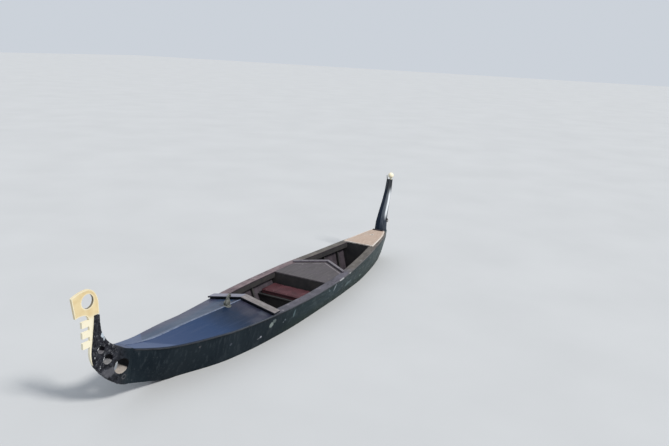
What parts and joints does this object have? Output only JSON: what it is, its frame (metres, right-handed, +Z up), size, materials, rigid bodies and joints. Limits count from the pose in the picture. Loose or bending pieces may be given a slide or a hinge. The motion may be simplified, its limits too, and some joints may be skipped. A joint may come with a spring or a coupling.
{
  "type": "gondola boat",
  "caption": "Narrow open gondola with a gabled foredeck, pierced stem, toothed bow iron, seat cockpit, aft well and a tall stern post capped by a ball.",
  "frame": {"origin": "middle of the bounding box in plan, on the plane of the flat bottom", "axes": "+X towards the bow, +Y to port, +Z up"},
  "size_m": [6.9999, 1.1046, 1.7123],
  "materials": {
    "hull": "worn near-black paint",
    "deck": "glossy slate-blue varnish over black paint",
    "cap": "weathered grey-brown",
    "iron": "cream paint, rubbed at the edges",
    "ply": "bare tan plywood, weathered",
    "inside": "matt dark paint",
    "floor": "bare worn boards",
    "ornament": "aged bronze, grey-green",
    "ring": "dark paint",
    "cushion": "dull dark red"
  },
  "bodies": {
    "root": {"bottom_panel": "hull", "stem_block": "hull", "stern_block": "hull", "stern_post": "hull", "stern_ball": "iron", "stern_ring": "ring", "bow_iron": "iron", "bow_ornament": "ornament", "coaming_riser": "deck", "mid_deck": "cap", "mid_deck_bar": "hull", "aft_deck": "ply", "aft_deck_batten": "hull", "well_floor": "floor", "floor_board_centre": "floor", "floor_board_port": "floor", "floor_board_starboard": "floor", "bulkhead_fore": "inside", "bulkhead_mid_fore": "inside", "bulkhead_mid_aft": "inside", "bulkhead_aft": "inside", "bench_board_fore": "inside", "bench_board_aft": "inside", "bench_panel_fore": "inside", "bench_panel_aft": "inside", "bench_cushion_fore": "cushion", "bench_cushion_aft": "cushion", "side_plank_port": "hull", "side_plank_starboard": "hull", "foredeck_port": "deck", "foredeck_starboard": "deck", "coaming_plank_port": "cap", "coaming_plank_starboard": "cap", "side_deck_port": "cap", "side_deck_starboard": "cap", "gunwale_rail_port": "hull", "gunwale_rail_starboard": "hull", "cockpit_carlin_port": "inside", "cockpit_carlin_starboard": "inside", "well_carlin_port": "inside", "well_carlin_starboard": "inside", "hull_frame_1": "inside", "hull_frame_2": "inside", "hull_frame_3": "inside", "hull_frame_4": "inside", "hull_frame_5": "inside"}
  },
  "joints": []
}
